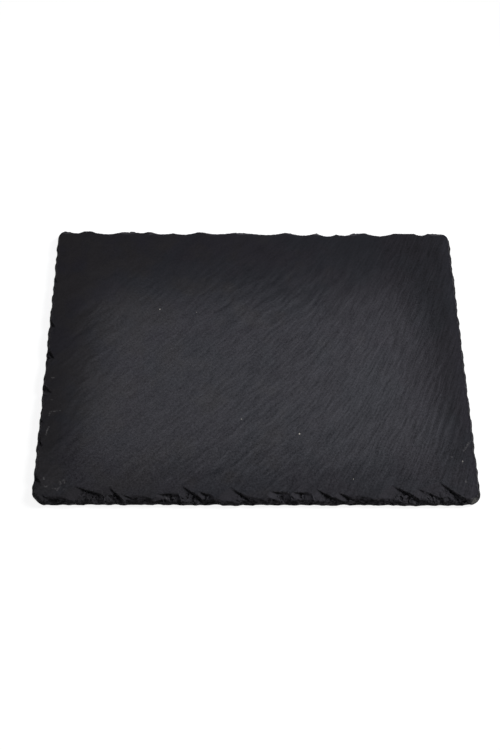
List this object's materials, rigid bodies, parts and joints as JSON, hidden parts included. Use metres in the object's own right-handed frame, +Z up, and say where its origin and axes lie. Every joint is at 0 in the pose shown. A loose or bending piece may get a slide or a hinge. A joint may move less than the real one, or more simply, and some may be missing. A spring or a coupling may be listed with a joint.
{
  "type": "slate serving board",
  "caption": "Flat rectangular serving board of split natural slate with a struck, flaked edge, standing on stick-on foam feet.",
  "frame": {"origin": "on the table, under the middle of the board's outline", "axes": "+X along the board's length, +Y from the front edge to the rear edge, +Z up out of the serving face"},
  "size_m": [0.4, 0.3, 0.0082],
  "materials": {
    "slate": "matt riven slate with a faint sheen, left as split",
    "foam": "closed-cell foam, die-cut",
    "adhesive": "double-sided tape"
  },
  "bodies": {
    "root": {"slate_slab": "slate", "foot_pad_front_left": "foam", "foot_pad_front_right": "foam", "foot_pad_rear_left": "foam", "foot_pad_rear_right": "foam", "foot_adhesive_front_left": "adhesive", "foot_adhesive_front_right": "adhesive", "foot_adhesive_rear_left": "adhesive", "foot_adhesive_rear_right": "adhesive"}
  },
  "joints": []
}
